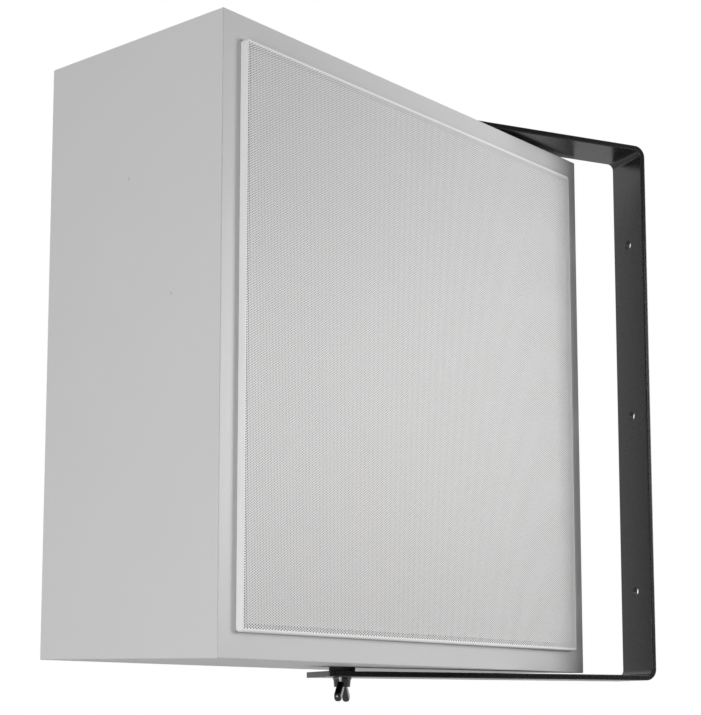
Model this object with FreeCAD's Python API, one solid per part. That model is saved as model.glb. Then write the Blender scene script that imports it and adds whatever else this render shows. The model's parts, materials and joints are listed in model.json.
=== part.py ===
# Square wall loudspeaker that swivels in a folded flat-bar bracket.
# Millimetres, +Z up. The origin is the middle wall hole on the strap's wall face. +Y points into the wall.
# The box is drawn about its pivot axis with its front towards -Y, and is then swung to its rest position.
import FreeCAD, Part
import math
import os

V = FreeCAD.Vector
TOUCH = 1e-5

# Box of six boards, whose top and bottom lean in towards the back
BOX_WIDTH = 305.0
BOX_HEIGHT = 305.0
BOX_DEPTH = 120.0
BOARD = 12.0
BOARD_EDGE = 0.6
BACK_LEAN = 2.1
PIVOT_FROM_FRONT = 54.5
BAFFLE_RECESS = 12.0
REST_SWING = 115.5

# Grille tray, the cloth behind it and the foam strips that hold it
GRILLE_PROUD = 3.6
GRILLE_GAP = 0.35
GRILLE_SHEET = 0.6
GRILLE_EDGE = 1.4
GRILLE_CORNER = 4.0
SCRIM = 0.5
GRIP_INSET = 0.4

# Bracket bar
BAR_WIDTH = 30.0
BAR = 3.0
BAR_BEND = 3.5
BAR_EDGE = 0.6
ARM_REACH = 187.0
ARM_TIP = 14.2
ARM_GAP = 1.6
WALL_HOLE = 5.5
WALL_HOLE_SPACING = 103.0
WALL_HOLE_DROP = 2.5

# Pivot hardware
SCREW = 5.0
THREAD_PLAY = 0.1
HOLE_PLAY = 0.3
SPACER_OD = 14.0
WASHER_OD = 10.0
WASHER = 1.0
INSERT_OD = 8.0
INSERT_FLANGE_OD = 14.0
INSERT_FLANGE = 1.2
SCREW_PAST_INSERT = 2.0
BOSS_OD = 9.4
BOSS_TOP_OD = 8.6
BOSS_HEIGHT = 4.0
WING_SPAN = 26.0
WING_HEIGHT = 11.7
WING_THICK = 3.7
WING_TIP_R = 2.8
WING_ROOT_R = 2.3
WING_ROUND = 1.5
WING_ROOT_DROP = 0.7
WING_TURN = 28.0

# Driver: depths are measured backwards from the front of the baffle
FRAME_OD = 206.0
FRAME_SHEET = 1.2
CUTOUT_PLAY = 1.0
LEDGE_OUT = 104.0
LEDGE_IN = 82.0
LEDGE_BEHIND_CONE = 4.2
SEAT_OD = 76.0
SEAT_HOLE = 32.0
SEAT_BEHIND_LEDGE = 12.0
WINDOW_COUNT = 6
WINDOW_WIDTH = 44.0
WINDOW_START = 9.0
WINDOW_END = 30.0
SURROUND = 0.8
SURROUND_LIP = 4.5
ROLL_WIDTH = 13.0
CONE = 0.8
CONE_DEPTH = 34.0
SPIDER = 0.8
SPIDER_WAVE = 1.2
SPIDER_WAVES = 6
GASKET = 3.0
COIL_BORE = 25.4
FORMER = 0.5
WINDING = 0.7
WINDING_LENGTH = 10.0
FORMER_TAIL = 2.0
GAP_OUTSIDE = 0.4
GAP_INSIDE = 0.6
TOP_PLATE_OD = 80.0
TOP_PLATE = 5.0
MAGNET_OD = 90.0
MAGNET_BORE = 44.0
MAGNET = 15.0
YOKE_PLATE = 5.0
DRIVER_SCREWS = 4
DRIVER_SCREW_TURN = 45.0
DRIVER_SCREW = 4.0
DRIVER_SCREW_HEAD = 6.0
DRIVER_SCREW_HEAD_HEIGHT = 2.4
DRIVER_SCREW_INSET = 3.8
DRIVER_SCREW_GAP = 0.7
DRIVER_SCREW_BITE = 8.0
TAG_TURN = 135.0
TAG_STRIP = 1.6
TAG_STRIP_WIDTH = 22.0
TAG_STRIP_REACH = 10.0
TAG = 0.8
TAG_WIDTH = 3.0
TAG_SPACING = 12.0
TAG_REACH = 6.0

# Tweeter carried on the pole
POST_OD = 8.0
POST_TAIL = 1.0
NUT_OD = 14.0
NUT = 5.0
HOUSING_OD = 44.0
HOUSING_FRONT = 2.0
HOUSING_DEPTH = 12.0
HOUSING_WALL = 1.5
HOUSING_FLOOR = 2.0
TWEETER_MAGNET_OD = 28.0
TWEETER_MAGNET = 8.0
DOME_OD = 25.0
DOME_RISE = 5.0
DOME = 0.6
FACE_RING = 2.0
FACE_PLAY = 1.0

# Crossover on the back panel
CROSSOVER_GAP = 3.0
CROSSOVER_RAISE = 24.5
CIRCUIT_WIDTH = 76.0
CIRCUIT_HEIGHT = 56.0
CIRCUIT = 1.6
STANDOFF = 6.0
STANDOFF_OD = 7.0
CIRCUIT_SCREW = 3.0
CIRCUIT_SCREW_HEAD = 5.5
CIRCUIT_SCREW_HEAD_HEIGHT = 2.0
CIRCUIT_SCREW_BITE = 6.0
CIRCUIT_SCREW_INSET = 5.0
CAPACITOR_OD = 16.0
CAPACITOR_LENGTH = 30.0
CAPACITOR_X = -10.0
CAPACITOR_Z = -16.0
CAPACITOR_SEAT = 0.2
BOBBIN_OD = 28.0
BOBBIN_HUB = 12.0
BOBBIN_BORE = 6.0
BOBBIN_FLANGE = 1.5
BOBBIN_HEIGHT = 18.0
BOBBIN_X = -17.0
BOBBIN_Z = 9.0
COIL_OD = 25.0
RESISTOR_LENGTH = 24.0
RESISTOR_SIDE = 9.0
RESISTOR_X = 17.0
RESISTOR_Z = 2.0

# Rear connection
TERMINAL_X = 0.0
TERMINAL_RAISE = 25.5
PLATE_WIDTH = 80.0
PLATE_HEIGHT = 44.0
PLATE = 2.0
PLATE_GASKET = 1.0
PLATE_RIM = 10.0
PLATE_SCREW = 3.5
PLATE_SCREW_HEAD = 6.4
PLATE_SCREW_HEAD_HEIGHT = 1.8
PLATE_SCREW_BITE = 7.0
BLOCK_WIDTH = 52.0
BLOCK_HEIGHT = 16.0
BLOCK = 10.0
BLOCK_FENCE = 3.0
BLOCK_DECK = 4.0
STUD = 4.0
STUD_HEAD = 7.0
STUD_HEAD_HEIGHT = 2.5
STUD_SPACING = 24.0
STUD_TAIL = 6.0

# Inside wiring and damping
LEAD_R = 1.1
LEAD_SHARE = 0.45
LEAD_REST = 0.2
LANDING_INSET = 3.0
INPUT_RUNS = (14.0, 20.0)
INPUT_LANDINGS = (-16.0, -4.0)
INPUT_INSET = 8.0
WOOFER_LANDINGS = (-22.0, -4.0)
WOOFER_RUN = 20.0
WOOFER_APPROACH = 18.0
TWEETER_INSET = 16.0
TWEETER_RUN = 6.0
PAD = 12.0
PAD_MARGIN = 3.0
PAD_HEIGHT = 240.0

# Places that several pieces share, in the frame of the box
HALF_WIDTH = BOX_WIDTH / 2
HALF_HEIGHT = BOX_HEIGHT / 2
FRONT = -PIVOT_FROM_FRONT
BACK = FRONT + BOX_DEPTH
BACK_INSIDE = BACK - BOARD
BAFFLE_FRONT = FRONT + BAFFLE_RECESS
INNER_HALF_WIDTH = HALF_WIDTH - BOARD
INNER_HALF_HEIGHT = HALF_HEIGHT - BOARD
CIRCUIT_FRONT = BACK_INSIDE - STANDOFF - CIRCUIT
CROSSOVER_X = PAD + CROSSOVER_GAP + CIRCUIT_WIDTH / 2 - INNER_HALF_WIDTH
CROSSOVER_Z = CROSSOVER_RAISE + CIRCUIT_HEIGHT / 2 - INNER_HALF_HEIGHT
TERMINAL_Z = TERMINAL_RAISE + PLATE_HEIGHT / 2 - INNER_HALF_HEIGHT
PIVOT_Y = -(BAR + ARM_REACH)

# Radii and depths that several driver pieces share
FLANGE_FRONT = -FRAME_SHEET
DRIVER_SCREW_R = FRAME_OD / 2 - DRIVER_SCREW_INSET
MOUTH_R = DRIVER_SCREW_R - DRIVER_SCREW_HEAD / 2 - DRIVER_SCREW_GAP - SURROUND_LIP
CUTOUT_R = MOUTH_R + FRAME_SHEET + CUTOUT_PLAY
CONE_R = MOUTH_R - ROLL_WIDTH
CONE_BACK = FLANGE_FRONT + CONE_DEPTH
LEDGE_DEPTH = CONE_BACK + LEDGE_BEHIND_CONE
SEAT_DEPTH = LEDGE_DEPTH + SEAT_BEHIND_LEDGE
FORMER_IN = COIL_BORE / 2
FORMER_OUT = FORMER_IN + FORMER
WINDING_OUT = FORMER_OUT + WINDING
TOP_PLATE_FRONT = SEAT_DEPTH + FRAME_SHEET
MAGNET_FRONT = TOP_PLATE_FRONT + TOP_PLATE
YOKE_FRONT = MAGNET_FRONT + MAGNET
YOKE_BACK = YOKE_FRONT + YOKE_PLATE
WINDING_MIDDLE = TOP_PLATE_FRONT + TOP_PLATE / 2
TAG_STRIP_FRONT = LEDGE_DEPTH + FRAME_SHEET
TAG_START_R = LEDGE_OUT / 2 + TAG_STRIP_REACH
TAG_END_R = TAG_START_R + TAG_REACH
HOUSING_BACK = HOUSING_FRONT + HOUSING_DEPTH
POST_BACK = YOKE_BACK + NUT + POST_TAIL


# Helpers

def block(x, y, z):
    """Box between pairs of limits along each axis."""
    return Part.makeBox(x[1] - x[0], y[1] - y[0], z[1] - z[0], V(x[0], y[0], z[0]))


def rod(radius, start, end, x=0.0, y=0.0):
    """Cylinder along Z between two heights."""
    return Part.makeCylinder(radius, end - start, V(x, y, start))


def ring(outside, inside, start, end, x=0.0, y=0.0):
    """Flat ring along Z between two heights."""
    return rod(outside, start, end, x, y).cut(rod(inside, start, end, x, y))


def along_y(shape, x, y, z):
    """Turn a shape that was drawn along +Z to run along +Y, and move it."""
    shape.rotate(V(0, 0, 0), V(1, 0, 0), -90)
    shape.translate(V(x, y, z))
    return shape


def turned(outline):
    """Revolve a closed outline of radius and depth points about Z."""
    points = [V(r, 0, depth) for r, depth in outline]
    face = Part.Face(Part.makePolygon(points + points[:1]))
    return face.revolve(V(0, 0, 0), V(0, 0, 1), 360)


def skin(path, thick):
    """Closed outline of a sheet: the path is one face, and the other lies thick away on its right."""
    sides = []
    for (r0, s0), (r1, s1) in zip(path, path[1:]):
        run = math.hypot(r1 - r0, s1 - s0)
        sides.append(((s1 - s0) / run, (r0 - r1) / run))
    other = []
    for i, (r, s) in enumerate(path):
        before = sides[max(i - 1, 0)]
        after = sides[min(i, len(sides) - 1)]
        share = thick / (1 + before[0] * after[0] + before[1] * after[1])
        other.append((r + share * (before[0] + after[0]), s + share * (before[1] + after[1])))
    return path + other[::-1]


def edges_flat_on(shape, axis, value):
    """Edges that lie in a plane across an axis, given as X, Y or Z."""
    found = []
    for edge in shape.Edges:
        low = getattr(edge.BoundBox, axis + "Min")
        high = getattr(edge.BoundBox, axis + "Max")
        if abs(low - value) < TOUCH and abs(high - value) < TOUCH:
            found.append(edge)
    return found


def straight_edges_along(shape, axis):
    """Straight edges that run along an axis, given as X, Y or Z."""
    across = [name for name in "XYZ" if name != axis]
    found = []
    for edge in shape.Edges:
        spread = sum(getattr(edge.BoundBox, name + "Length") for name in across)
        if spread < TOUCH:
            found.append(edge)
    return found


def in_driver(shape):
    """Move a shape drawn about Z, with depth along +Z, to the driver's place behind the baffle's front."""
    return along_y(shape, 0, BAFFLE_FRONT, 0)


def driver_point(radius, depth, turn, across=0.0):
    """Point of the box frame at a radius, depth and turn about the driver's axis."""
    angle = math.radians(turn)
    x = radius * math.cos(angle) - across * math.sin(angle)
    y = radius * math.sin(angle) + across * math.cos(angle)
    return V(x, BAFFLE_FRONT + depth, -y)


def lead(points, radius):
    """Tube along straight runs joined by tangent arcs, each as large as its two runs allow."""
    edges = []
    start = points[0]
    for before, corner, after in zip(points, points[1:], points[2:]):
        arrive = corner - before
        leave = after - corner
        half_turn = arrive.getAngle(leave) / 2
        setback = LEAD_SHARE * min(arrive.Length, leave.Length)
        bend = setback / math.tan(half_turn)
        arrive.normalize()
        leave.normalize()
        inward = leave - arrive
        inward.normalize()
        first = corner - arrive * setback
        middle = corner + inward * (bend / math.cos(half_turn) - bend)
        last = corner + leave * setback
        edges.append(Part.LineSegment(start, first).toShape())
        edges.append(Part.Arc(first, middle, last).toShape())
        start = last
    edges.append(Part.LineSegment(start, points[-1]).toShape())
    profile = Part.Wire([Part.Circle(points[0], points[1] - points[0], radius).toShape()])
    return Part.Wire(edges).makePipeShell([profile], True, True)


# Bracket, drawn in the frame of the whole object

def mounting_bracket():
    """Flat bar folded to a U, with pivot holes in the arms and wall holes in the strap."""
    inside = HALF_HEIGHT + ARM_GAP
    outside = inside + BAR
    tip = PIVOT_Y - ARM_TIP
    bend_out = BAR_BEND + BAR
    slant = math.sqrt(0.5)

    def at(y, z):
        return V(-BAR_WIDTH / 2, y, z)

    def corner_arc(y, z, radius, up):
        """Arc of a fold about a centre, from the arm to the strap."""
        on_arm = at(y, z + up * radius)
        middle = at(y + radius * slant, z + up * radius * slant)
        on_strap = at(y + radius, z)
        return on_arm, middle, on_strap

    fold_y = -bend_out
    fold_z = outside - bend_out
    a0, a1, a2 = corner_arc(fold_y, fold_z, bend_out, 1)
    b0, b1, b2 = corner_arc(fold_y, -fold_z, bend_out, -1)
    c0, c1, c2 = corner_arc(fold_y, fold_z, BAR_BEND, 1)
    d0, d1, d2 = corner_arc(fold_y, -fold_z, BAR_BEND, -1)
    edges = [
        Part.LineSegment(at(tip, outside), a0).toShape(),
        Part.Arc(a0, a1, a2).toShape(),
        Part.LineSegment(a2, b2).toShape(),
        Part.Arc(b2, b1, b0).toShape(),
        Part.LineSegment(b0, at(tip, -outside)).toShape(),
        Part.LineSegment(at(tip, -outside), at(tip, -inside)).toShape(),
        Part.LineSegment(at(tip, -inside), d0).toShape(),
        Part.Arc(d0, d1, d2).toShape(),
        Part.LineSegment(d2, c2).toShape(),
        Part.Arc(c2, c1, c0).toShape(),
        Part.LineSegment(c0, at(tip, inside)).toShape(),
        Part.LineSegment(at(tip, inside), at(tip, outside)).toShape(),
    ]
    bar = Part.Face(Part.Wire(edges)).extrude(V(BAR_WIDTH, 0, 0))
    rims = edges_flat_on(bar, "X", -BAR_WIDTH / 2) + edges_flat_on(bar, "X", BAR_WIDTH / 2)
    bar = bar.makeFillet(BAR_EDGE, rims)
    pivot = rod(SCREW / 2 + HOLE_PLAY, -outside - BAR, outside + BAR, 0, PIVOT_Y)
    bar = bar.cut(pivot)
    for step in (-1, 0, 1):
        height = step * WALL_HOLE_SPACING - WALL_HOLE_DROP
        hole = along_y(rod(WALL_HOLE / 2, -2 * BAR, BAR), 0, 0, height)
        bar = bar.cut(hole)
    bar.translate(V(0, 0, WALL_HOLE_DROP))
    return bar


# Box, drawn about the pivot axis

def box_outside():
    """Solid of the box's outside, with sharp edges and a back that is less tall than the front."""
    back_half = HALF_HEIGHT - BACK_LEAN
    corners = [
        V(-HALF_WIDTH, FRONT, -HALF_HEIGHT),
        V(-HALF_WIDTH, BACK, -back_half),
        V(-HALF_WIDTH, BACK, back_half),
        V(-HALF_WIDTH, FRONT, HALF_HEIGHT),
    ]
    side = Part.Face(Part.makePolygon(corners + corners[:1]))
    return side.extrude(V(BOX_WIDTH, 0, 0))


def box_boards():
    """Four painted outer boards, the back panel and the baffle."""
    whole = box_outside()
    whole = whole.makeFillet(BOARD_EDGE, whole.Edges)
    depth = (FRONT, BACK)
    height = (-HALF_HEIGHT, HALF_HEIGHT)
    across = (-INNER_HALF_WIDTH, INNER_HALF_WIDTH)
    upright = (-INNER_HALF_HEIGHT, INNER_HALF_HEIGHT)
    insert_hole = rod(INSERT_OD / 2, -HALF_HEIGHT, HALF_HEIGHT)
    top = whole.common(block(across, depth, (INNER_HALF_HEIGHT, HALF_HEIGHT)))
    bottom = whole.common(block(across, depth, (-HALF_HEIGHT, -INNER_HALF_HEIGHT)))
    boards = {
        "left_side_panel": whole.common(block((-HALF_WIDTH, -INNER_HALF_WIDTH), depth, height)),
        "right_side_panel": whole.common(block((INNER_HALF_WIDTH, HALF_WIDTH), depth, height)),
        "top_panel": top.cut(insert_hole),
        "bottom_panel": bottom.cut(insert_hole),
    }
    back = block(across, (BACK_INSIDE, BACK), upright).cut(terminal_window())
    for x, z in plate_screw_places():
        back = back.cut(along_y(rod(PLATE_SCREW / 2, -PLATE_SCREW_BITE, 0), x, BACK, z))
    for x, z in circuit_screw_places():
        back = back.cut(along_y(rod(CIRCUIT_SCREW / 2, 0, CIRCUIT_SCREW_BITE), x, BACK_INSIDE, z))
    baffle = block(across, (BAFFLE_FRONT, BAFFLE_FRONT + BOARD), upright)
    baffle = baffle.cut(in_driver(rod(CUTOUT_R, 0, BOARD)))
    for x, y in driver_screw_places():
        baffle = baffle.cut(in_driver(rod(DRIVER_SCREW / 2, 0, DRIVER_SCREW_BITE, x, y)))
    boards["back_panel"] = back
    boards["front_baffle"] = baffle
    return boards


def tray(half_width, half_height, front, back, corner, edge):
    """Solid block with rounded corners whose front rim is rounded too."""
    body = block((-half_width, half_width), (front, back), (-half_height, half_height))
    body = body.makeFillet(corner, straight_edges_along(body, "Y"))
    return body.makeFillet(edge, edges_flat_on(body, "Y", front))


def grille_pieces():
    """Pressed tray proud of the boards, cloth behind its face, and foam strips round its sides."""
    half_width = INNER_HALF_WIDTH - GRILLE_GAP
    half_height = INNER_HALF_HEIGHT - GRILLE_GAP
    front = FRONT - GRILLE_PROUD
    outer = tray(half_width, half_height, front, BAFFLE_FRONT, GRILLE_CORNER, GRILLE_EDGE)
    inner = tray(
        half_width - GRILLE_SHEET,
        half_height - GRILLE_SHEET,
        front + GRILLE_SHEET,
        BAFFLE_FRONT,
        GRILLE_CORNER - GRILLE_SHEET,
        GRILLE_EDGE - GRILLE_SHEET,
    )
    cloth_x = half_width - GRILLE_CORNER
    cloth_z = half_height - GRILLE_CORNER
    cloth_front = front + GRILLE_SHEET
    scrim = block((-cloth_x, cloth_x), (cloth_front, cloth_front + SCRIM), (-cloth_z, cloth_z))
    strip_depth = (FRONT + GRIP_INSET, BAFFLE_FRONT)
    strips = []
    for side in (-1, 1):
        x = sorted((side * half_width, side * INNER_HALF_WIDTH))
        z = sorted((side * half_height, side * INNER_HALF_HEIGHT))
        strips.append(block(x, strip_depth, (-cloth_z, cloth_z)))
        strips.append(block((-cloth_x, cloth_x), strip_depth, z))
    return {
        "grille": outer.cut(inner),
        "grille_scrim": scrim,
        "grille_grip_strips": Part.makeCompound(strips),
    }


# Pivot hardware: the lower set is drawn, and the upper set is its mirror image

def lobe(root, root_r, tip, tip_r, thick):
    """Plate across Y round two circles of the XZ plane and their outer tangents, with rounded rims."""
    heading = math.atan2(tip[1] - root[1], tip[0] - root[0])
    lean = math.acos((root_r - tip_r) / math.hypot(tip[0] - root[0], tip[1] - root[1]))

    def at(centre, radius, angle):
        return V(centre[0] + radius * math.cos(angle), -thick / 2, centre[1] + radius * math.sin(angle))

    left = heading + lean
    right = heading - lean
    behind = heading + math.pi
    edges = [
        Part.LineSegment(at(root, root_r, left), at(tip, tip_r, left)).toShape(),
        Part.Arc(at(tip, tip_r, left), at(tip, tip_r, heading), at(tip, tip_r, right)).toShape(),
        Part.LineSegment(at(tip, tip_r, right), at(root, root_r, right)).toShape(),
        Part.Arc(at(root, root_r, right), at(root, root_r, behind), at(root, root_r, left)).toShape(),
    ]
    plate = Part.Face(Part.Wire(edges)).extrude(V(0, thick, 0))
    rims = edges_flat_on(plate, "Y", -thick / 2) + edges_flat_on(plate, "Y", thick / 2)
    return plate.makeFillet(WING_ROUND, rims)


def wing_screw():
    """Hand screw with its seat at z = 0, its thread along +Z and its wings towards -Z."""
    reach = WASHER + BAR + ARM_GAP + BOARD + INSERT_FLANGE + SCREW_PAST_INSERT
    body = rod(SCREW / 2, 0, reach)
    boss = Part.makeCone(BOSS_TOP_OD / 2, BOSS_OD / 2, BOSS_HEIGHT, V(0, 0, -BOSS_HEIGHT))
    body = body.fuse(boss)
    root = (BOSS_TOP_OD / 2 - WING_ROOT_R / 2, -WING_ROOT_DROP - WING_ROOT_R)
    tip = (WING_SPAN / 2 - WING_TIP_R, WING_TIP_R - WING_HEIGHT)
    for turn in (0, 180):
        wing = lobe(root, WING_ROOT_R, tip, WING_TIP_R, WING_THICK)
        wing.rotate(V(0, 0, 0), V(0, 0, 1), turn)
        body = body.fuse(wing)
    body = body.removeSplitter()
    body.rotate(V(0, 0, 0), V(0, 0, 1), WING_TURN)
    return body


def lower_pivot():
    """Insert, spacer, washer and wing screw of the lower pivot."""
    seat = -HALF_HEIGHT - ARM_GAP - BAR - WASHER
    thread_r = SCREW / 2 + THREAD_PLAY
    hole_r = SCREW / 2 + HOLE_PLAY
    collar = ring(INSERT_FLANGE_OD / 2, thread_r, -INNER_HALF_HEIGHT, -INNER_HALF_HEIGHT + INSERT_FLANGE)
    box = box_outside()
    sleeve = ring(INSERT_OD / 2, thread_r, -HALF_HEIGHT, -INNER_HALF_HEIGHT).common(box)
    spacer = ring(SPACER_OD / 2, hole_r, -HALF_HEIGHT - ARM_GAP, -INNER_HALF_HEIGHT).cut(box)
    screw = wing_screw()
    screw.translate(V(0, 0, seat))
    return {
        "lower_insert": sleeve.fuse(collar).removeSplitter(),
        "lower_spacer": spacer,
        "lower_washer": ring(WASHER_OD / 2, hole_r, seat, seat + WASHER),
        "lower_wing_screw": screw,
    }


def upper_pivot():
    """The lower pivot's pieces, mirrored to the top of the box."""
    pieces = {}
    for name, shape in lower_pivot().items():
        pieces[name.replace("lower", "upper")] = shape.mirror(V(0, 0, 0), V(0, 0, 1))
    return pieces


# Driver

def driver_screw_places():
    """Screw places on the frame, in the driver's own plane."""
    places = []
    for i in range(DRIVER_SCREWS):
        angle = math.radians(DRIVER_SCREW_TURN + i * 360 / DRIVER_SCREWS)
        places.append((DRIVER_SCREW_R * math.cos(angle), DRIVER_SCREW_R * math.sin(angle)))
    return places


def driver_basket():
    """Pressed frame: flange, windowed wall, spider ledge and magnet seat."""
    path = [
        (FRAME_OD / 2, FLANGE_FRONT),
        (MOUTH_R, FLANGE_FRONT),
        (LEDGE_OUT / 2, LEDGE_DEPTH),
        (LEDGE_IN / 2, LEDGE_DEPTH),
        (SEAT_OD / 2, SEAT_DEPTH),
        (SEAT_HOLE / 2, SEAT_DEPTH),
    ]
    basket = turned(skin(path, FRAME_SHEET))
    half = WINDOW_WIDTH / 2
    window = block((LEDGE_OUT / 2, FRAME_OD / 2), (-half, half), (WINDOW_START, WINDOW_END))
    for i in range(WINDOW_COUNT):
        opening = window.copy()
        opening.rotate(V(0, 0, 0), V(0, 0, 1), i * 360 / WINDOW_COUNT)
        basket = basket.cut(opening)
    for x, y in driver_screw_places():
        basket = basket.cut(rod(DRIVER_SCREW / 2 + HOLE_PLAY, FLANGE_FRONT, 0, x, y))
    return basket


def driver_screws():
    """Round-headed screws through the flange into the baffle."""
    screws = []
    for x, y in driver_screw_places():
        head = rod(DRIVER_SCREW_HEAD / 2, FLANGE_FRONT - DRIVER_SCREW_HEAD_HEIGHT, FLANGE_FRONT, x, y)
        shank = rod(DRIVER_SCREW / 2, FLANGE_FRONT, DRIVER_SCREW_BITE, x, y)
        screws.append(head.fuse(shank).removeSplitter())
    return Part.makeCompound(screws)


def surround():
    """Half-roll edge between the cone's rim and the flange."""
    back = FLANGE_FRONT
    front = back - SURROUND
    middle = CONE_R + ROLL_WIDTH / 2
    crest = ROLL_WIDTH / 2
    hollow = crest - SURROUND
    inner_lip = CONE_R - SURROUND_LIP
    outer_lip = MOUTH_R + SURROUND_LIP

    def at(r, depth):
        return V(r, 0, depth)

    points = [
        at(middle + crest, front),
        at(outer_lip, front),
        at(outer_lip, back),
        at(middle + hollow, back),
        at(middle + hollow, front),
    ]
    mirrored = [
        at(middle - hollow, front),
        at(middle - hollow, back),
        at(inner_lip, back),
        at(inner_lip, front),
        at(middle - crest, front),
    ]
    edges = [Part.LineSegment(a, b).toShape() for a, b in zip(points, points[1:])]
    edges.append(Part.Arc(points[-1], at(middle, front - hollow), mirrored[0]).toShape())
    edges += [Part.LineSegment(a, b).toShape() for a, b in zip(mirrored, mirrored[1:])]
    edges.append(Part.Arc(mirrored[-1], at(middle, front - crest), points[0]).toShape())
    return Part.Face(Part.Wire(edges)).revolve(V(0, 0, 0), V(0, 0, 1), 360)


def spider():
    """Corrugated disc from the ledge to the coil former."""
    depth = LEDGE_DEPTH - SPIDER
    path = [(LEDGE_OUT / 2, depth), (LEDGE_IN / 2, depth)]
    pitch = (LEDGE_IN / 2 - FORMER_OUT) / (SPIDER_WAVES + 1)
    for i in range(SPIDER_WAVES):
        wave = SPIDER_WAVE if i % 2 else -SPIDER_WAVE
        path.append((LEDGE_IN / 2 - pitch * (i + 0.5), depth + wave))
    path += [(FORMER_OUT + pitch / 2, depth), (FORMER_OUT, depth)]
    return turned(skin(path, SPIDER))


def driver_tags():
    """Strip behind the spider ledge, and two solder tags on it."""
    wide = TAG_STRIP_WIDTH / 2
    start = LEDGE_IN / 2 + 2 * FRAME_SHEET
    strip = block((start, TAG_START_R), (-wide, wide), (TAG_STRIP_FRONT, TAG_STRIP_FRONT + TAG_STRIP))
    tag_back = TAG_STRIP_FRONT + TAG_STRIP
    tags = []
    for side in (-1, 1):
        y = side * TAG_SPACING / 2
        across = (y - TAG_WIDTH / 2, y + TAG_WIDTH / 2)
        tags.append(block((LEDGE_OUT / 2, TAG_END_R), across, (tag_back, tag_back + TAG)))
    pieces = {"driver_tag_strip": strip, "driver_tags": Part.makeCompound(tags)}
    for shape in pieces.values():
        shape.rotate(V(0, 0, 0), V(0, 0, 1), TAG_TURN)
    return pieces


def driver_pieces():
    """Frame, magnet system and moving parts of the driver, about Z with depth along +Z."""
    cone_path = [
        (CONE_R, FLANGE_FRONT),
        (CONE_R - SURROUND_LIP, FLANGE_FRONT),
        (FORMER_OUT, CONE_BACK),
    ]
    winding_start = WINDING_MIDDLE - WINDING_LENGTH / 2
    winding_end = WINDING_MIDDLE + WINDING_LENGTH / 2
    former_start = CONE_BACK - FORMER_TAIL
    former_end = winding_end + FORMER_TAIL
    gasket_back = FLANGE_FRONT - SURROUND
    gasket_inside = MOUTH_R + SURROUND
    gasket_outside = MOUTH_R + SURROUND_LIP
    pole = ring(FORMER_IN - GAP_INSIDE, POST_OD / 2, TOP_PLATE_FRONT, YOKE_FRONT)
    back_plate = ring(TOP_PLATE_OD / 2, POST_OD / 2, YOKE_FRONT, YOKE_BACK)
    pieces = {
        "driver_basket": driver_basket(),
        "driver_screws": driver_screws(),
        "driver_gasket": ring(gasket_outside, gasket_inside, gasket_back - GASKET, gasket_back),
        "surround": surround(),
        "spider": spider(),
        "cone": turned(skin(cone_path, CONE)),
        "voice_coil_former": ring(FORMER_OUT, FORMER_IN, former_start, former_end),
        "voice_coil_winding": ring(WINDING_OUT, FORMER_OUT, winding_start, winding_end),
        "top_plate": ring(TOP_PLATE_OD / 2, WINDING_OUT + GAP_OUTSIDE, TOP_PLATE_FRONT, MAGNET_FRONT),
        "ferrite_magnet": ring(MAGNET_OD / 2, MAGNET_BORE / 2, MAGNET_FRONT, YOKE_FRONT),
        "yoke": pole.fuse(back_plate).removeSplitter(),
    }
    pieces.update(driver_tags())
    return pieces


def tweeter_dome():
    """Thin dome with a flat rim that the face ring clamps."""
    rim_back = HOUSING_FRONT
    rim_front = rim_back - DOME
    half = DOME_OD / 2
    ball = (half * half + DOME_RISE * DOME_RISE) / (2 * DOME_RISE)
    lean = math.asin(half / ball)

    def arc(radius):
        """Start, middle and end of a cap about the same centre, from its rim to its top."""
        centre = rim_front - DOME_RISE + ball
        turns = (lean, lean / 2, 0)
        return [V(radius * math.sin(t), 0, centre - radius * math.cos(t)) for t in turns]

    outer = arc(ball)
    inner = arc(ball - DOME)
    rim = [
        outer[0],
        V(HOUSING_OD / 2, 0, rim_front),
        V(HOUSING_OD / 2, 0, rim_back),
        V(inner[0].x, 0, rim_back),
        inner[0],
    ]
    edges = [Part.LineSegment(a, b).toShape() for a, b in zip(rim, rim[1:])]
    edges.append(Part.Arc(*inner).toShape())
    edges.append(Part.LineSegment(inner[2], outer[2]).toShape())
    edges.append(Part.Arc(*outer[::-1]).toShape())
    return Part.Face(Part.Wire(edges)).revolve(V(0, 0, 0), V(0, 0, 1), 360)


def tweeter_pieces():
    """Post through the pole, and the small dome unit on its front end."""
    cup_r = HOUSING_OD / 2 - HOUSING_WALL
    floor = HOUSING_BACK - HOUSING_FLOOR
    cup = rod(HOUSING_OD / 2, HOUSING_FRONT, HOUSING_BACK).cut(rod(cup_r, HOUSING_FRONT, floor))
    face_back = HOUSING_FRONT - DOME
    return {
        "tweeter_post": rod(POST_OD / 2, HOUSING_BACK, POST_BACK),
        "tweeter_nut": ring(NUT_OD / 2, POST_OD / 2, YOKE_BACK, YOKE_BACK + NUT),
        "tweeter_housing": cup,
        "tweeter_magnet": rod(TWEETER_MAGNET_OD / 2, floor - TWEETER_MAGNET, floor),
        "tweeter_dome": tweeter_dome(),
        "tweeter_face": ring(HOUSING_OD / 2, DOME_OD / 2 + FACE_PLAY, face_back - FACE_RING, face_back),
    }


# Crossover

def circuit_screw_places():
    """Screw places of the crossover board on the back panel."""
    x = CIRCUIT_WIDTH / 2 - CIRCUIT_SCREW_INSET
    z = CIRCUIT_HEIGHT / 2 - CIRCUIT_SCREW_INSET
    return [(CROSSOVER_X + i * x, CROSSOVER_Z + j * z) for i in (-1, 1) for j in (-1, 1)]


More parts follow.
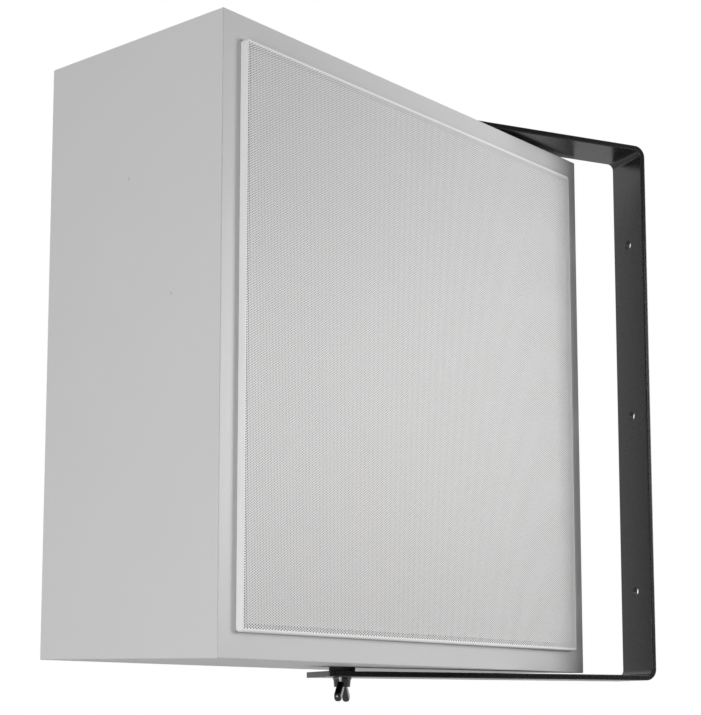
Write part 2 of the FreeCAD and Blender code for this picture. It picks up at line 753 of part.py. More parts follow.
def crossover_pieces():
    """Board on standoffs, its screws, and the filter parts on its front face."""
    wide = CIRCUIT_WIDTH / 2
    tall = CIRCUIT_HEIGHT / 2
    board = block(
        (CROSSOVER_X - wide, CROSSOVER_X + wide),
        (CIRCUIT_FRONT, CIRCUIT_FRONT + CIRCUIT),
        (CROSSOVER_Z - tall, CROSSOVER_Z + tall),
    )
    standoffs = []
    screws = []
    for x, z in circuit_screw_places():
        bore = CIRCUIT_SCREW / 2
        shank = along_y(rod(bore, 0, CIRCUIT + STANDOFF + CIRCUIT_SCREW_BITE), x, CIRCUIT_FRONT, z)
        head = along_y(rod(CIRCUIT_SCREW_HEAD / 2, -CIRCUIT_SCREW_HEAD_HEIGHT, 0), x, CIRCUIT_FRONT, z)
        board = board.cut(shank)
        screws.append(shank.fuse(head).removeSplitter())
        standoffs.append(along_y(ring(STANDOFF_OD / 2, bore, -STANDOFF, 0), x, BACK_INSIDE, z))
    can = Part.makeCylinder(CAPACITOR_OD / 2, CAPACITOR_LENGTH, V(0, 0, 0), V(1, 0, 0))
    can.translate(V(
        CROSSOVER_X + CAPACITOR_X - CAPACITOR_LENGTH / 2,
        CIRCUIT_FRONT - CAPACITOR_SEAT - CAPACITOR_OD / 2,
        CROSSOVER_Z + CAPACITOR_Z,
    ))
    bobbin_x = CROSSOVER_X + BOBBIN_X
    bobbin_z = CROSSOVER_Z + BOBBIN_Z
    waist = (-BOBBIN_HEIGHT + BOBBIN_FLANGE, -BOBBIN_FLANGE)
    reel = ring(BOBBIN_OD / 2, BOBBIN_BORE / 2, -BOBBIN_HEIGHT, 0)
    reel = reel.cut(ring(BOBBIN_OD / 2, BOBBIN_HUB / 2, *waist))
    coil = ring(COIL_OD / 2, BOBBIN_HUB / 2, *waist)
    side = RESISTOR_SIDE / 2
    resistor_x = CROSSOVER_X + RESISTOR_X
    resistor_z = CROSSOVER_Z + RESISTOR_Z
    resistor = block(
        (resistor_x - side, resistor_x + side),
        (CIRCUIT_FRONT - RESISTOR_SIDE, CIRCUIT_FRONT),
        (resistor_z - RESISTOR_LENGTH / 2, resistor_z + RESISTOR_LENGTH / 2),
    )
    return {
        "crossover_board": board,
        "board_standoffs": Part.makeCompound(standoffs),
        "board_screws": Part.makeCompound(screws),
        "capacitor": can,
        "inductor_bobbin": along_y(reel, bobbin_x, CIRCUIT_FRONT, bobbin_z),
        "inductor_winding": along_y(coil, bobbin_x, CIRCUIT_FRONT, bobbin_z),
        "resistor": resistor,
    }


# Rear connection

def plate_screw_places():
    """Screw places at the corners of the terminal plate."""
    x = PLATE_WIDTH / 2 - PLATE_RIM / 2
    z = PLATE_HEIGHT / 2 - PLATE_RIM / 2
    return [(TERMINAL_X + i * x, TERMINAL_Z + j * z) for i in (-1, 1) for j in (-1, 1)]


def stud_places():
    """Sideways places of the two terminal studs."""
    return [TERMINAL_X - STUD_SPACING / 2, TERMINAL_X + STUD_SPACING / 2]


def around_terminal(half_width, half_height, start, end):
    """Block about the terminal's middle between two depths."""
    x = (TERMINAL_X - half_width, TERMINAL_X + half_width)
    z = (TERMINAL_Z - half_height, TERMINAL_Z + half_height)
    return block(x, (start, end), z)


def terminal_window():
    """Opening in the back panel behind the terminal plate."""
    half_width = PLATE_WIDTH / 2 - PLATE_RIM
    half_height = PLATE_HEIGHT / 2 - PLATE_RIM
    return around_terminal(half_width, half_height, BACK_INSIDE, BACK + PLATE_GASKET)


def terminal_pieces():
    """Gasket, plate, barrier block, studs and screws on the back of the box."""
    plate_front = BACK + PLATE_GASKET
    plate_back = plate_front + PLATE
    block_back = plate_back + BLOCK
    deck = plate_back + BLOCK_DECK
    gasket = around_terminal(PLATE_WIDTH / 2, PLATE_HEIGHT / 2, BACK, plate_front).cut(terminal_window())
    plate = around_terminal(PLATE_WIDTH / 2, PLATE_HEIGHT / 2, plate_front, plate_back)
    barrier = around_terminal(BLOCK_WIDTH / 2, BLOCK_HEIGHT / 2, plate_back, block_back)
    bay = (STUD_SPACING - BLOCK_FENCE) / 2
    studs = []
    for x in stud_places():
        barrier = barrier.cut(block(
            (x - bay, x + bay),
            (deck, block_back),
            (TERMINAL_Z - BLOCK_HEIGHT / 2, TERMINAL_Z + BLOCK_HEIGHT / 2),
        ))
        shank = along_y(rod(STUD / 2, -STUD_TAIL, deck - BACK_INSIDE), x, BACK_INSIDE, TERMINAL_Z)
        head = along_y(rod(STUD_HEAD / 2, 0, STUD_HEAD_HEIGHT), x, deck, TERMINAL_Z)
        plate = plate.cut(shank)
        barrier = barrier.cut(shank)
        studs.append(shank.fuse(head).removeSplitter())
    screws = []
    for x, z in plate_screw_places():
        stack = PLATE + PLATE_GASKET + PLATE_SCREW_BITE
        shank = along_y(rod(PLATE_SCREW / 2, -stack, 0), x, plate_back, z)
        head = along_y(rod(PLATE_SCREW_HEAD / 2, 0, PLATE_SCREW_HEAD_HEIGHT), x, plate_back, z)
        plate = plate.cut(shank)
        gasket = gasket.cut(shank)
        screws.append(shank.fuse(head).removeSplitter())
    return {
        "terminal_gasket": gasket,
        "terminal_plate": plate,
        "terminal_block": barrier,
        "terminal_studs": Part.makeCompound(studs),
        "plate_screws": Part.makeCompound(screws),
    }


# Wiring and damping

def wiring():
    """Leads from the studs to the crossover, and from there to the driver and the tweeter."""
    stud_end = BACK_INSIDE - STUD_TAIL
    right = CROSSOVER_X + CIRCUIT_WIDTH / 2
    top = CROSSOVER_Z + CIRCUIT_HEIGHT / 2
    pieces = {}
    inputs = zip(("input_wire_red", "input_wire_black"), stud_places(), INPUT_RUNS, INPUT_LANDINGS)
    for name, x, forward, height in inputs:
        run = stud_end - forward
        landing = V(right - INPUT_INSET, CIRCUIT_FRONT, CROSSOVER_Z + height)
        pieces[name] = lead([
            V(x, stud_end, TERMINAL_Z),
            V(x, run, TERMINAL_Z),
            V(landing.x, run, landing.z),
            landing,
        ], LEAD_R)
    tag_depth = TAG_STRIP_FRONT + TAG_STRIP + TAG / 2
    outputs = zip(("woofer_wire_red", "woofer_wire_black"), (-1, 1), WOOFER_LANDINGS)
    for name, side, along in outputs:
        across = side * TAG_SPACING / 2
        landing = V(CROSSOVER_X + along, CIRCUIT_FRONT, top - LANDING_INSET)
        pieces[name] = lead([
            landing,
            landing - V(0, WOOFER_RUN, 0),
            driver_point(TAG_END_R + WOOFER_APPROACH, tag_depth, TAG_TURN, across),
            driver_point(TAG_END_R + LEAD_REST, tag_depth, TAG_TURN, across),
        ], LEAD_R)
    post_end = BAFFLE_FRONT + POST_BACK
    turn_back = (post_end + BACK_INSIDE) / 2
    pieces["tweeter_lead"] = lead([
        V(right - TWEETER_INSET, CIRCUIT_FRONT, top - LANDING_INSET),
        V(right - TWEETER_INSET, CIRCUIT_FRONT - TWEETER_RUN, top - LANDING_INSET),
        V(0, turn_back, 0),
        V(0, post_end, 0),
    ], LEAD_R)
    return pieces


def damping_pads():
    """Soft pads on the inner faces of the two sides."""
    depth = (BAFFLE_FRONT + BOARD + PAD_MARGIN, BACK_INSIDE - PAD_MARGIN)
    height = (-PAD_HEIGHT / 2, PAD_HEIGHT / 2)
    return {
        "left_damping_pad": block((-INNER_HALF_WIDTH, -INNER_HALF_WIDTH + PAD), depth, height),
        "right_damping_pad": block((INNER_HALF_WIDTH - PAD, INNER_HALF_WIDTH), depth, height),
    }


# Assembly: everything but the bracket is swung about the pivot to the rest position

def swung(shape):
    """Move a shape from the box's frame to the frame of the whole object."""
    shape.rotate(V(0, 0, 0), V(0, 0, 1), REST_SWING)
    shape.translate(V(0, PIVOT_Y, WALL_HOLE_DROP))
    return shape


box_pieces = {}
box_pieces.update(box_boards())
box_pieces.update(grille_pieces())
box_pieces.update(lower_pivot())
box_pieces.update(upper_pivot())
for driver_set in (driver_pieces(), tweeter_pieces()):
    for node, drawn in driver_set.items():
        box_pieces[node] = in_driver(drawn)
box_pieces.update(crossover_pieces())
box_pieces.update(terminal_pieces())
box_pieces.update(wiring())
box_pieces.update(damping_pads())

pieces = {"mounting_bracket": mounting_bracket()}
for node, drawn in box_pieces.items():
    pieces[node] = swung(drawn)

os.makedirs("parts", exist_ok=True)
for node, shape in pieces.items():
    shape.exportStep(f"parts/{node}.step")
    print(node, "valid" if shape.isValid() else "INVALID", len(shape.Solids), round(shape.Volume, 1))
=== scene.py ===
# %% [markdown]
# # A wall speaker in a swivel bracket
# The speaker is a square painted box with a perforated metal grille, held by a black flat-bar bracket. Its
# boards, bracket, screws and driver come ready made as a fixed frame, so this lesson adds what a frame
# lacks: the finish of every surface, the thousands of holes in the grille, the light and the camera.

# %% Load the frame
import json
import math

import bmesh
import bpy
import numpy as np
from mathutils import Matrix, Vector


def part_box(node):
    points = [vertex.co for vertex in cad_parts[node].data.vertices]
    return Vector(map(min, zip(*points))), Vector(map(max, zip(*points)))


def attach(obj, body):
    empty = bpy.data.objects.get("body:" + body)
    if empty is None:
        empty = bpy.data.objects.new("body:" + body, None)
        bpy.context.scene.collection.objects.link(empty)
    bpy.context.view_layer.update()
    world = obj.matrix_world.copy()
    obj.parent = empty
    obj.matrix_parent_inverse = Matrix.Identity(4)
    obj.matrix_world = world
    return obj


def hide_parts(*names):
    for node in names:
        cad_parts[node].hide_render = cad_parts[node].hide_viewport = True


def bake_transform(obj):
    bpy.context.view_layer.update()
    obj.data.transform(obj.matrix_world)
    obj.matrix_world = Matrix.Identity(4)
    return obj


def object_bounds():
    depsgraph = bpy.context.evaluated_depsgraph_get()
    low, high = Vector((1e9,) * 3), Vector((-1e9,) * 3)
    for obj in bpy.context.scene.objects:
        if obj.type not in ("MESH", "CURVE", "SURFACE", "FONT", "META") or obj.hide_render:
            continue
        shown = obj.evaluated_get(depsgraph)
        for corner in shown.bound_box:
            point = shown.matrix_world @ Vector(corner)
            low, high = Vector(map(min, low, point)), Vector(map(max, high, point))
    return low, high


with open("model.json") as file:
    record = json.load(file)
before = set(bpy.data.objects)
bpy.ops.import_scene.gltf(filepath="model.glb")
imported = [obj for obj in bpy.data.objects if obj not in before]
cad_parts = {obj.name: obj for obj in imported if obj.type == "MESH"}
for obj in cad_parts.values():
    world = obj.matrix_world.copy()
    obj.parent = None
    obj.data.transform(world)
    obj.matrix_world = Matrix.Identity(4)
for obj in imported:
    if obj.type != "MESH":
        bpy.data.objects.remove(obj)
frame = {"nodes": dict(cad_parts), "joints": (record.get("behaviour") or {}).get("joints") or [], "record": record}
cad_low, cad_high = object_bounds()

scene = bpy.context.scene
print("frame:", len(frame["nodes"]), "pieces,", [round(s, 3) for s in cad_high - cad_low], "metres")

# %% [markdown]
# ## Camera
# The photograph looks up at the speaker from the lower left, with little perspective, so the lens is long.
# The picture could be framed by tilting the camera, but then its upright lines would lean in. The camera
# is kept nearly level instead and its frame is shifted up, as an architect's camera does.

# %% Set the camera
CAMERA_PLACE = Vector((0.86071, -0.58454, -0.17858))
CAMERA_LOOK = Vector((-0.89864, 0.41708, 0.13594))
LENS_MM = 89.21
SENSOR_MM = 36.0
FRAME_SHIFT = 0.1713

camera_data = bpy.data.cameras.new("photo_camera")
camera_data.lens = LENS_MM
camera_data.sensor_width = SENSOR_MM
camera_data.shift_y = FRAME_SHIFT
camera = bpy.data.objects.new("photo_camera", camera_data)
camera.location = CAMERA_PLACE
camera.rotation_euler = CAMERA_LOOK.to_track_quat("-Z", "Y").to_euler()
scene.collection.objects.link(camera)
scene.camera = camera
print("camera:", [round(a, 3) for a in camera.location], "lens", LENS_MM)

# %% [markdown]
# ## The box's own axes
# The box is swung about its pivot, so nothing on it is square to the frame. Its own axes are read from the
# joints: the cone travels straight out of the front, and the swivel stands upright through the pivot. With
# them every size of a node can be measured as on a drawing: across, back and up.

# %% Read the axes from the joints
joints = {joint["name"]: joint for joint in frame["joints"]}
UP = Vector((0, 0, 1))
forward = Vector(joints["cone_travel"]["axis"]).normalized()
across = UP.cross(forward)
side_low, side_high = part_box("left_side_panel")
pivot = Vector(joints["swivel"]["pos_m"])
pivot.z = (side_low.z + side_high.z) / 2
from_box = Matrix.Translation(pivot) @ Matrix((across, -forward, UP)).transposed().to_4x4()
to_box = from_box.inverted()


def limits(node):
    """Lowest and highest corner of a node along the box's own axes: across, back and up."""
    points = [to_box @ v.co for v in frame["nodes"][node].data.vertices]
    return Vector(map(min, zip(*points))), Vector(map(max, zip(*points)))


tray_low, tray_high = limits("grille")
print("grille tray in millimetres:", [round(s * 1000, 2) for s in tray_high - tray_low])

# %% [markdown]
# ## Writing shader maths as Python
# A finish is a small network of nodes. Wiring it node by node hides the idea, so one class wraps a socket
# and lets Python's operators add the Math nodes, and another makes any node from its type, settings and
# sockets.

# %% Sockets that Python can calculate with
class Wire:
    """One output socket of a node tree."""

    def __init__(self, tree, socket):
        self.tree = tree
        self.socket = socket

    def math(self, operation, *values):
        return self.tree.node("Math", {"operation": operation}, dict(enumerate(values)))

    def __add__(self, other):
        return self.math("ADD", self, other)

    def __radd__(self, other):
        return self.math("ADD", other, self)

    def __sub__(self, other):
        return self.math("SUBTRACT", self, other)

    def __rsub__(self, other):
        return self.math("SUBTRACT", other, self)

    def __mul__(self, other):
        return self.math("MULTIPLY", self, other)

    def __rmul__(self, other):
        return self.math("MULTIPLY", other, self)

    def sine(self):
        return self.math("SINE", self)

    def step(self, start, end):
        """0 below start, 1 above end, and a soft rise between them."""
        sockets = {"Value": self, "From Min": start, "From Max": end}
        return self.tree.node("MapRange", {"interpolation_type": "SMOOTHSTEP"}, sockets)


def grey(level):
    """A neutral colour."""
    return (level, level, level, 1.0)


def shade(colour, factor):
    """The same colour, lighter or darker."""
    return tuple(min(1.0, c * factor) for c in colour[:3]) + (1.0,)


class Tree:
    """The node tree of a material or of the world."""

    def __init__(self, owner):
        owner.use_nodes = True
        self.nodes = owner.node_tree.nodes
        self.links = owner.node_tree.links
        self.nodes.clear()

    def node(self, kind, settings=None, sockets=None, out=0):
        """Adds a node, sets it up, joins its sockets and returns one of its outputs."""
        made = self.nodes.new("ShaderNode" + kind)
        for name, value in (settings or {}).items():
            setattr(made, name, value)
        for name, value in (sockets or {}).items():
            if isinstance(value, Wire):
                self.links.new(value.socket, made.inputs[name])
            else:
                made.inputs[name].default_value = value
        return Wire(self, made.outputs[out]) if made.outputs else None

    def mix(self, factor, first, second):
        """Colour between two colours."""
        return self.node("Mix", {"data_type": "RGBA"}, {0: factor, 6: first, 7: second}, 2)

    def place(self):
        """Where on the piece a point is, in metres. It moves with the piece."""
        return self.node("TexCoord", out="Object")

    def stretched(self, vector, scale):
        """Coordinates multiplied axis by axis."""
        return self.node("VectorMath", {"operation": "MULTIPLY"}, {0: vector, 1: scale})

    def noise(self, vector, size, detail=2.0):
        """Soft random pattern, whose spots are about size metres across."""
        sockets = {"Vector": vector, "Scale": 1 / size, "Detail": detail}
        return self.node("TexNoise", {}, sockets, "Fac")

    def cells(self, vector, size):
        """Distance to the nearest of many scattered points, about size metres apart."""
        sockets = {"Vector": vector, "Scale": 1 / size}
        return self.node("TexVoronoi", {"feature": "F1"}, sockets, "Distance")

    def distance(self, vector, point):
        """How far a vector is from a fixed point."""
        return self.node("VectorMath", {"operation": "DISTANCE"}, {0: vector, 1: point}, "Value")

    def axis(self, vector, name):
        """One of the X, Y and Z values of a vector."""
        return self.node("SeparateXYZ", {}, {"Vector": vector}, name)

    def bump(self, height, depth):
        """Normal of a surface whose relief is depth metres high."""
        return self.node("Bump", {}, {"Height": height, "Distance": depth, "Strength": 1.0}, "Normal")


FINISHES = {}


def finish(slot):
    """A new material for one of the record's slots, with its tree."""
    FINISHES[slot] = bpy.data.materials.new(slot)
    return Tree(FINISHES[slot])


def surface(tree, **sockets):
    """Ends a material with one Principled shader. Words in a socket's name are joined by _ here."""
    named = {name.replace("_", " "): value for name, value in sockets.items()}
    shader = tree.node("BsdfPrincipled", {}, named)
    tree.node("OutputMaterial", {}, {"Surface": shader})


print("shader helpers ready")

# %% [markdown]
# ## Satin paint on the boards
# The boards are sprayed and rubbed down, so the paint is even, with a faint cloudiness, the fine waviness
# that painters call orange peel, and a speck of dust here and there. A flat grey would look like paper.
# Three noise sizes give it life: clouds in the colour, waves in the relief, and grain in both.

# %% Paint the boards
PAINT = grey(0.56)
CLOUD_SIZE = 0.06
PEEL_SIZE = 0.0018
GRAIN_SIZE = 0.0005
DUST_SIZE = 0.045
NICKS = [Vector((0.0585, -0.3311, 0.0838)), Vector((0.0857, -0.3181, 0.0222))]


def painted_board(slot, colour):
    tree = finish(slot)
    place = tree.place()
    cloud = tree.noise(place, CLOUD_SIZE, 3)
    peel = tree.noise(place, PEEL_SIZE)
    grain = tree.noise(place, GRAIN_SIZE, 1)
    tone = (cloud - 0.5) * 0.6 + (grain - 0.5) * 0.5 + 0.5
    clean = tree.mix(tone, shade(colour, 0.965), shade(colour, 1.035))
    marks = 1 - tree.cells(place, DUST_SIZE).step(0.008, 0.014)
    for nick in NICKS:
        marks = marks + 1 - tree.distance(place, nick).step(0.0005, 0.0012)
    surface(
        tree,
        Base_Color=tree.mix(marks * 0.35, clean, shade(colour, 0.5)),
        Roughness=0.42 + (peel - 0.5) * 0.12,
        Normal=tree.bump(peel + grain * 0.35, 0.00003),
    )


painted_board("cabinet_paint", PAINT)
print("painted: cabinet_paint")

# %% [markdown]
# ## Powder coat
# The grille and the bracket are steel with baked powder on it. Powder melts into a skin of tiny pebbles,
# finer than orange peel, and it shines a little more on the tops of the pebbles. One function makes both
# colours.

# %% Coat the grille, the bracket and the driver's basket
def powder_coat(slot, colour, roughness, pebble, relief):
    tree = finish(slot)
    place = tree.place()
    skin = tree.noise(place, pebble, 2)
    pits = tree.cells(place, pebble * 1.6)
    cloud = tree.noise(place, 0.03, 2)
    tone = (skin - 0.5) * 0.8 + (cloud - 0.5) * 0.5 + 0.5
    surface(
        tree,
        Base_Color=tree.mix(tone, shade(colour, 0.94), shade(colour, 1.06)),
        Roughness=roughness + (skin - 0.5) * 0.15 + (cloud - 0.5) * 0.08,
        Normal=tree.bump(skin + pits * 0.5, relief),
    )


powder_coat("grille_paint", grey(0.80), 0.42, 0.0006, 0.00002)
powder_coat("bracket_paint", grey(0.004), 0.26, 0.0007, 0.00002)
powder_coat("basket_paint", grey(0.02), 0.38, 0.0009, 0.00003)
print("coated: grille_paint, bracket_paint, basket_paint")

# %% [markdown]
# ## Metals
# Screws, washers, magnets' plates and windings are bare or plated metal. A metal's colour comes only from
# what it reflects, so its roughness does the work: fine turning marks run round or along a piece, and
# handling leaves duller patches. The marks are noise squeezed along one axis.

# %% Finish the metals
def plated_metal(slot, colour, roughness, marks=(1.0, 1.0, 12.0), mark_size=0.0025):
    tree = finish(slot)
    place = tree.place()
    turning = tree.noise(tree.stretched(place, marks), mark_size, 3)
    smears = tree.noise(place, 0.006, 3)
    surface(
        tree,
        Base_Color=tree.mix(smears, shade(colour, 0.82), shade(colour, 1.15)),
        Metallic=1.0,
        Roughness=roughness + (turning - 0.5) * 0.14 + (smears - 0.5) * 0.1,
        Normal=tree.bump(turning, 0.000012),
    )


plated_metal("wing_metal", (0.06, 0.06, 0.062, 1), 0.16)
plated_metal("washer_steel", (0.12, 0.12, 0.122, 1), 0.24, (1, 1, 1))
plated_metal("insert_brass", (0.72, 0.52, 0.20, 1), 0.30)
plated_metal("plated_steel", (0.62, 0.62, 0.64, 1), 0.30)
plated_metal("black_screws", (0.05, 0.05, 0.052, 1), 0.34, (1, 1, 1))
plated_metal("copper_wire", (0.78, 0.33, 0.15, 1), 0.26, (20, 20, 1), 0.008)
print("finishes with the metals:", len(FINISHES))

# %% [markdown]
# ## Plastics, rubber and cured resins
# Moulded parts take the grain of their mould, rubber is dull and holds dust, and laminates and ferrite
# show the grain of what they are pressed from. They differ only in colour, shine, grain size and relief,
# so one function covers them, and each call names what is real about that piece.

# %% Finish the moulded and pressed pieces
def moulded(slot, colour, roughness, grain, relief, contrast=0.1):
    tree = finish(slot)
    place = tree.place()
    texture = tree.noise(place, grain, 3)
    pores = tree.cells(place, grain * 2)
    wear = tree.noise(place, 0.02, 2)
    tone = (texture - 0.5) * 0.9 + (wear - 0.5) * 0.5 + 0.5
    surface(
        tree,
        Base_Color=tree.mix(tone, shade(colour, 1 - contrast), shade(colour, 1 + contrast)),
        Roughness=roughness + (texture - 0.5) * 0.16 + (wear - 0.5) * 0.1,
        Normal=tree.bump(texture + pores * 0.6, relief),
    )


moulded("black_plastic", grey(0.022), 0.42, 0.0007, 0.00004)
moulded("spacer_rubber", grey(0.014), 0.62, 0.0005, 0.00003)
moulded("surround_rubber", grey(0.018), 0.50, 0.0012, 0.00003)
moulded("foam_tape", grey(0.45), 0.92, 0.0009, 0.00025, 0.15)
moulded("ferrite", grey(0.065), 0.68, 0.0006, 0.00005, 0.2)
moulded("tag_board", (0.22, 0.10, 0.04, 1), 0.55, 0.0006, 0.00002, 0.2)
moulded("circuit_laminate", (0.02, 0.13, 0.05, 1), 0.35, 0.0015, 0.00002)
moulded("resistor_ceramic", (0.68, 0.66, 0.60, 1), 0.72, 0.0005, 0.00005)
moulded("capacitor_film", (0.62, 0.36, 0.03, 1), 0.30, 0.004, 0.00003)
moulded("former_film", (0.50, 0.26, 0.06, 1), 0.28, 0.003, 0.00001)
moulded("dome_film", (0.20, 0.20, 0.22, 1), 0.22, 0.003, 0.00001)
moulded("red_insulation", (0.42, 0.015, 0.012, 1), 0.45, 0.002, 0.00002)
moulded("black_insulation", grey(0.018), 0.45, 0.002, 0.00002)
moulded("grey_insulation", grey(0.28), 0.45, 0.002, 0.00002)
print("finishes with the moulded pieces:", len(FINISHES))

# %% [markdown]
# ## Fibres: cloth, paper, card, board and wadding
# Woven cloth has threads that cross, and pulp, card and wadding are felted fibres that lie every way. The
# weave is two sine waves along the piece's own axes, one thread over and one under; the felt is stretched
# noise.

# %% Finish the fibrous pieces
def woven(slot, colour, thread, relief):
    tree = finish(slot)
    place = tree.place()
    swing = math.atan2(across.y, across.x)
    square = tree.node("VectorRotate", {"rotation_type": "Z_AXIS"}, {"Vector": place, "Angle": -swing})
    wave = 2 * math.pi / thread
    warp = (tree.axis(square, "X") * wave).sine()
    weft = (tree.axis(square, "Z") * wave).sine()
    threads = warp * weft * 0.5 + 0.5
    slub = tree.noise(place, thread * 8, 3)
    surface(
        tree,
        Base_Color=tree.mix(threads * 0.7 + slub * 0.3, shade(colour, 0.7), shade(colour, 1.2)),
        Roughness=0.85 + (slub - 0.5) * 0.1,
        Normal=tree.bump(threads, relief),
    )


def felted(slot, colour, fibre, relief, contrast):
    tree = finish(slot)
    place = tree.place()
    strands = tree.noise(tree.stretched(place, (1, 4, 1)), fibre, 4)
    crossed = tree.noise(tree.stretched(place, (4, 1, 2)), fibre, 4)
    clumps = tree.noise(place, fibre * 6, 3)
    mat = strands * 0.4 + crossed * 0.4 + clumps * 0.2
    surface(
        tree,
        Base_Color=tree.mix(mat.step(0.3, 0.7), shade(colour, 1 - contrast), shade(colour, 1 + contrast)),
        Roughness=0.88 + (clumps - 0.5) * 0.15,
        Normal=tree.bump(mat, relief),
    )


woven("scrim_cloth", grey(0.40), 0.0008, 0.0001)
woven("spider_cloth", (0.55, 0.33, 0.10, 1), 0.0012, 0.0001)
felted("cone_paper", grey(0.04), 0.003, 0.0001, 0.3)
felted("gasket_card", grey(0.05), 0.002, 0.00008, 0.25)
felted("baffle_board", grey(0.03), 0.004, 0.0001, 0.3)
felted("wadding", (0.55, 0.55, 0.53, 1), 0.006, 0.0012, 0.2)
print("finishes with the fibres:", len(FINISHES))

# %% [markdown]
# ## Dress the frame
# The record names a finish for every node, so the frame is dressed in one loop. A node keeps its shape and
# its place; only the material in its slot changes.

# %% Put the finishes on the nodes
for part in frame["record"]["subparts"]:
    node = frame["nodes"][part["node"]]
    node.data.materials.clear()
    node.data.materials.append(FINISHES[part["material_slot"]])

# %% [markdown]
# ## The perforated grille
# The grille is a pressed steel tray whose face is punched with a close-packed pattern of small round
# holes, and whose rim is left blank and rolled back into the box. From a few steps away the eye can't part
# the holes, and sees the white sheet as a soft grey. Holes could be painted by a shader, but then the
# cloth would not show behind them, so they are cut in the mesh. Punching each hole with a boolean would
# take hours. The sheet is laid out as columns of cells instead: a cell is six points round its edge and
# six round its hole. Every second column is set half a cell lower, which gives the close packing, and the
# points on the columns' edges still meet. The sheet is so thin that the walls of the holes are left out.

# %% Measure the sheet and lay out the cells
PITCH = 0.0011975
HOLE_RADIUS = 0.00040
BLANK_RIM = 0.00035
ROLL = 0.0008
CORNER = 0.002
SHEET = 0.0006
BANDS = 4

tray_half = (tray_high - tray_low) / 2
tray_middle = (tray_high + tray_low) / 2
face = tray_low.y
column_width = PITCH * math.sqrt(3) / 2
columns = int(2 * (tray_half.x - ROLL - BLANK_RIM) / column_width)
rows = int(2 * (tray_half.z - ROLL - BLANK_RIM) / PITCH)
field_half = Vector((columns * column_width / 2, 0, rows * PITCH / 2))
print("perforation:", columns, "columns of", rows, "holes")

# %% [markdown]
# The sheet is one piece of steel, but a single mesh of it would be slow to edit, so its face is built in a
# few upright bands that share their edges. The rim is a separate ring of loops around them.

# %% Build the face in bands of cells
def in_frame(points):
    """Points in the box's own axes, as rows, moved to the frame."""
    matrix = np.array(from_box)
    return points @ matrix[:3, :3].T + matrix[:3, 3]


def placed(mesh, slot):
    """A new piece of the scene, with the finish of its slot."""
    mesh.materials.append(FINISHES[slot])
    piece = bpy.data.objects.new(mesh.name, mesh)
    scene.collection.objects.link(piece)
    return piece


def punched_band(name, first, last):
    """Cells of the columns from first up to last, each with its hole."""
    places = np.arange(first, last + 1) * column_width - field_half.x
    heights = np.arange(2 * rows + 1) * PITCH / 2 - field_half.z
    grid = np.array([(x, face, z) for x in places for z in heights])
    line = len(heights)
    cells = [(c - first, j) for c in range(first, last) for j in range(1 + c % 2, line - 1, 2)]
    column, middle = np.array(cells).T
    left = column * line + middle
    right = left + line
    edge = np.stack([right, right + 1, left + 1, left, left - 1, right - 1], 1)
    turns = np.arange(6) * math.pi / 3
    ring_x = (places[column] + column_width / 2)[:, None] + HOLE_RADIUS * np.cos(turns)
    ring_z = heights[middle][:, None] + HOLE_RADIUS * np.sin(turns)
    holes = np.stack([ring_x, np.full_like(ring_x, face), ring_z], 2).reshape(-1, 3)
    points = np.concatenate([grid, holes])
    ring = len(grid) + np.arange(len(holes)).reshape(-1, 6)
    faces = []
    for k in range(6):
        after = (k + 1) % 6
        faces += np.stack([edge[:, k], edge[:, after], ring[:, after], ring[:, k]], 1).tolist()
    for c in range(first, last):
        for j in (0, line - 2) if c % 2 else ():
            near = (c - first) * line + j
            faces.append((near, near + line, near + line + 1, near + 1))
    mesh = bpy.data.meshes.new(name)
    mesh.from_pydata(in_frame(points + np.array((tray_middle.x, 0, tray_middle.z))), [], faces)
    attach(placed(mesh, "grille_paint"), "cabinet")
    return len(middle)


cuts = [columns * band // BANDS for band in range(BANDS + 1)]
holes = [punched_band(f"grille_face_{b + 1}", cuts[b], cuts[b + 1]) for b in range(BANDS)]
print("holes punched:", sum(holes), "in bands of", holes)

# %% [markdown]
# The rim starts flat at the edge of the face, rolls over a small radius and runs back into the box. It is
# a set of rounded squares, one behind the other, joined by quads, as when a lampshade is lofted from
# rings.

# %% Build the rolled rim
ARC_STEPS = 10
ROLL_STEPS = 10
SHARP_EDGE = math.radians(40)


def rounded_loop(inset, corner, depth):
    """Points of a rounded square inset from the tray's sides, at a depth behind its face."""
    points = []
    for quarter in range(4):
        sign_x = 1 if quarter in (0, 3) else -1
        sign_z = 1 if quarter in (0, 1) else -1
        centre_x = tray_middle.x + sign_x * (tray_half.x - inset[0] - corner)
        centre_z = tray_middle.z + sign_z * (tray_half.z - inset[1] - corner)
        for step in range(ARC_STEPS + 1):
            turn = (quarter + step / ARC_STEPS) * math.pi / 2
            x = centre_x + corner * math.cos(turn)
            points.append((x, face + depth, centre_z + corner * math.sin(turn)))
    return points


def smoothed(mesh):
    """Shades a mesh as a round surface, except across its sharp edges."""
    mesh.shade_smooth()
    mesh.set_sharp_from_angle(angle=SHARP_EDGE)


def lofted(name, loops, slot, replaced):
    """A piece that joins loops of points with quads, in place of one of the frame's nodes."""
    around = len(loops[0])
    faces = []
    for low in range(0, (len(loops) - 1) * around, around):
        for k in range(around):
            after = (k + 1) % around
            faces.append((low + k, low + around + k, low + around + after, low + after))
    mesh = bpy.data.meshes.new(name)
    mesh.from_pydata(in_frame(np.concatenate(loops)), [], faces)
    shape = bmesh.new()
    shape.from_mesh(mesh)
    bmesh.ops.remove_doubles(shape, verts=shape.verts, dist=1e-6)
    bmesh.ops.recalc_face_normals(shape, faces=shape.faces)
    shape.to_mesh(mesh)
    shape.free()
    smoothed(mesh)
    piece = placed(mesh, slot)
    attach(piece, "cabinet")
    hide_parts(replaced)
    print("lofted:", name, len(mesh.polygons), "faces")


